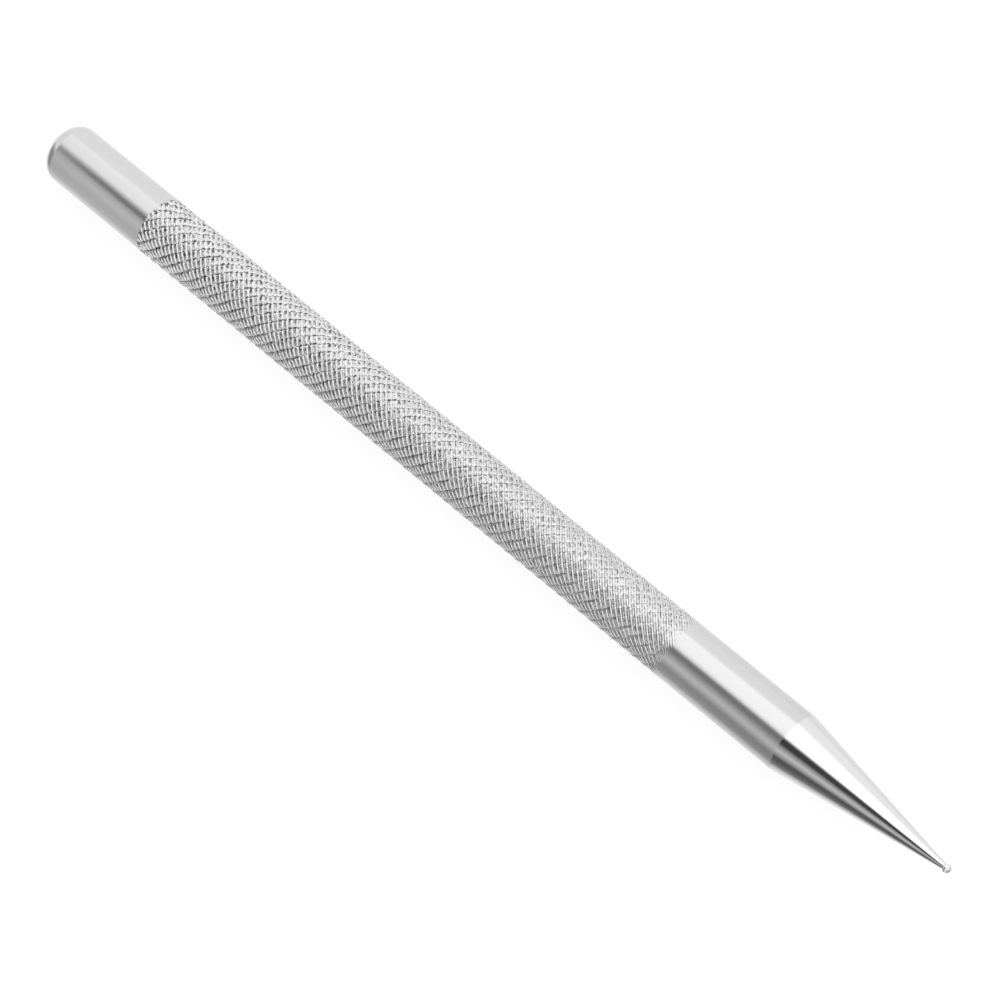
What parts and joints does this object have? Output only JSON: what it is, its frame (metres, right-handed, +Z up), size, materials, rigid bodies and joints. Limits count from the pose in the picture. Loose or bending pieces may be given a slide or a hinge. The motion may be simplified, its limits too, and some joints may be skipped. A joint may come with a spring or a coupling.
{
  "type": "leather scriber",
  "caption": "Slim turned steel stylus for marking leather: rounded butt, diamond-knurled grip, polished conical nose and a tiny ball tip.",
  "frame": {"origin": "on the tool's axis, at the middle of the knurled grip, where it is held", "axes": "+X along the axis towards the ball, +Z up when the tool lies flat, +Y to its left seen from the butt"},
  "size_m": [0.15, 0.008, 0.008],
  "materials": {
    "satin_steel": "fine turned satin, with a cut diamond knurl on the grip",
    "polished_steel": "mirror polished",
    "bright_ball": "mirror polished"
  },
  "bodies": {
    "root": {"knurled_handle": "satin_steel", "nose_cone": "polished_steel", "ball_point": "bright_ball"}
  },
  "joints": []
}
